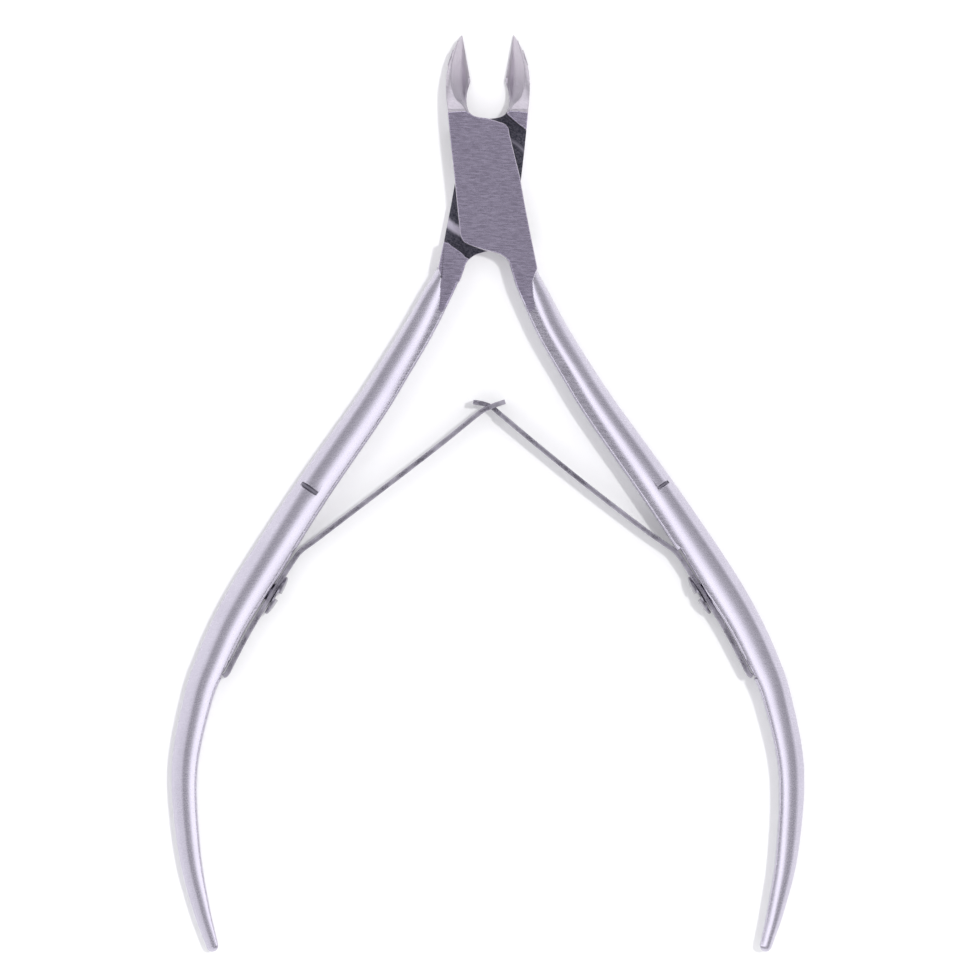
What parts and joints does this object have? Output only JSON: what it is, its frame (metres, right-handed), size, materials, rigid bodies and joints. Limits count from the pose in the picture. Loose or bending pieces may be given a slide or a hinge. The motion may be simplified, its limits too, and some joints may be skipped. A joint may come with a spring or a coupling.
{
  "type": "cuticle nipper",
  "caption": "Hand-held cuticle nipper with hollow-ground jaws, a half-lap pivot, curved tapering handles and interlocking leaf springs that hold it open.",
  "frame": {"origin": "middle of the open nipper's outline, on the surface that its flat rear face rests on", "axes": "+Y along the nipper to the jaw tips, +X to the right seen from the hollow faces, +Z out of the front face that the jaws' hollows are in"},
  "size_m": [0.0688, 0.0997, 0.005],
  "materials": {
    "front_arm": "satin stainless steel, fine cross-brushed flats, polished round handle, grey hollow face",
    "rear_arm": "satin stainless steel, fine cross-brushed flats, polished round handle, dark unpolished lap recess",
    "pivot_screw": "turned steel, flush slotted head",
    "tongue_spring": "rolled spring steel strip",
    "window_spring": "rolled spring steel strip",
    "tongue_spring_screw": "turned steel, slotted domed head",
    "window_spring_screw": "turned steel, slotted domed head"
  },
  "bodies": {
    "front_arm_unit": {"front_arm": "front_arm", "pivot_screw": "pivot_screw", "tongue_spring_screw": "tongue_spring_screw"},
    "rear_arm_unit": {"rear_arm": "rear_arm", "window_spring_screw": "window_spring_screw"},
    "tongue_spring_leaf": {"tongue_spring": "tongue_spring"},
    "window_spring_leaf": {"window_spring": "window_spring"}
  },
  "joints": [
    {"name": "jaw_pivot", "type": "hinge", "parent": "front_arm_unit", "child": "rear_arm_unit", "pos_m": [0, 0.0339, 0.0025], "axis": [0, 0, 1], "range_deg": [0, 19.6], "stiffness_Nm_per_rad": 0.6},
    {"name": "tongue_spring_flex", "type": "hinge", "parent": "front_arm_unit", "child": "tongue_spring_leaf", "pos_m": [0.0211, -0.0073, 0.0025], "axis": [0, 0, 1], "range_deg": [-12, 0], "deforming": ["tongue_spring"]},
    {"name": "window_spring_flex", "type": "hinge", "parent": "rear_arm_unit", "child": "window_spring_leaf", "pos_m": [-0.0211, -0.0073, 0.0025], "axis": [0, 0, 1], "range_deg": [0, 12], "deforming": ["window_spring"]}
  ],
  "couplings": [
    {"joint": "tongue_spring_flex", "follows": "jaw_pivot", "ratio": -0.61},
    {"joint": "window_spring_flex", "follows": "jaw_pivot", "ratio": 0.61}
  ]
}
